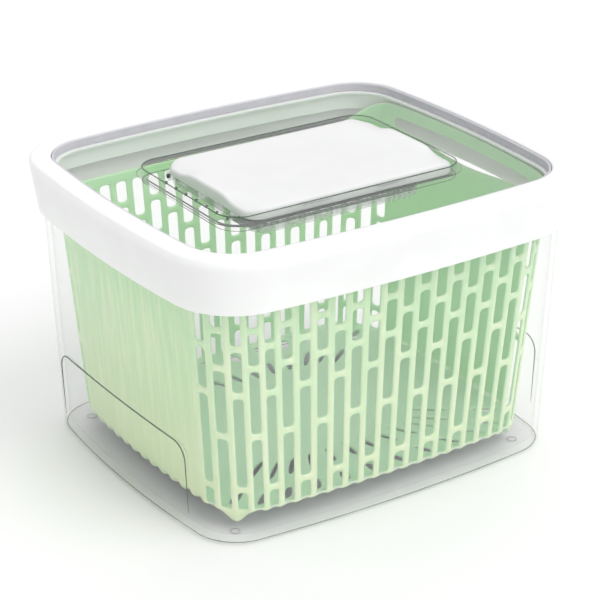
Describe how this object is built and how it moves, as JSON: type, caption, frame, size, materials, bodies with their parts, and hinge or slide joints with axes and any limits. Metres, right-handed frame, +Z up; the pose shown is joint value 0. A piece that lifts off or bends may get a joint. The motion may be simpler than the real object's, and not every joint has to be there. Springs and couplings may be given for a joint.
{
  "type": "vented produce keeper",
  "caption": "Clear rectangular food bin with a slotted lift-out basket and a white-framed clear lid that has a sliding vent and a drop-down filter tray.",
  "frame": {"origin": "centre of the bounding box's bottom face, which is the middle of the bin's underside", "axes": "+X along the long side, +Y towards the back long side, +Z up through the lid"},
  "size_m": [0.216, 0.1876, 0.139],
  "materials": {
    "bin_clear": "clear moulded plastic, polished",
    "basket_green": "mint green moulded plastic, slightly translucent, satin",
    "lid_white": "white moulded plastic, satin",
    "seal_grey": "lilac-grey soft seal",
    "panel_clear": "clear moulded plastic, polished",
    "housing_clear": "clear moulded plastic, polished",
    "cover_white": "white moulded plastic, satin",
    "door_clear": "clear moulded plastic with a frosted grid",
    "filter_felt": "non-woven sachet of carbon granules"
  },
  "bodies": {
    "bin": {"bin": "bin_clear"},
    "basket": {"basket": "basket_green"},
    "lid": {"lid_frame": "lid_white", "lid_seal": "seal_grey", "lid_panel": "panel_clear", "vent_housing": "housing_clear"},
    "vent_cover": {"vent_cover": "cover_white"},
    "filter_door": {"filter_door": "door_clear", "carbon_filter": "filter_felt"}
  },
  "joints": [
    {"name": "basket_lift", "type": "slide", "parent": "bin", "child": "basket", "axis": [0, 0, 1], "range_m": [0, 0.125]},
    {"name": "lid_lift", "type": "slide", "parent": "basket", "child": "lid", "axis": [0, 0, 1], "range_m": [0, 0.06]},
    {"name": "vent_slide", "type": "slide", "parent": "lid", "child": "vent_cover", "axis": [1, 0, 0], "range_m": [-0.012, 0]},
    {"name": "filter_door_hinge", "type": "hinge", "parent": "lid", "child": "filter_door", "pos_m": [-0.003, 0.0409, 0.1271], "axis": [1, 0, 0], "range_deg": [0, 90]}
  ]
}
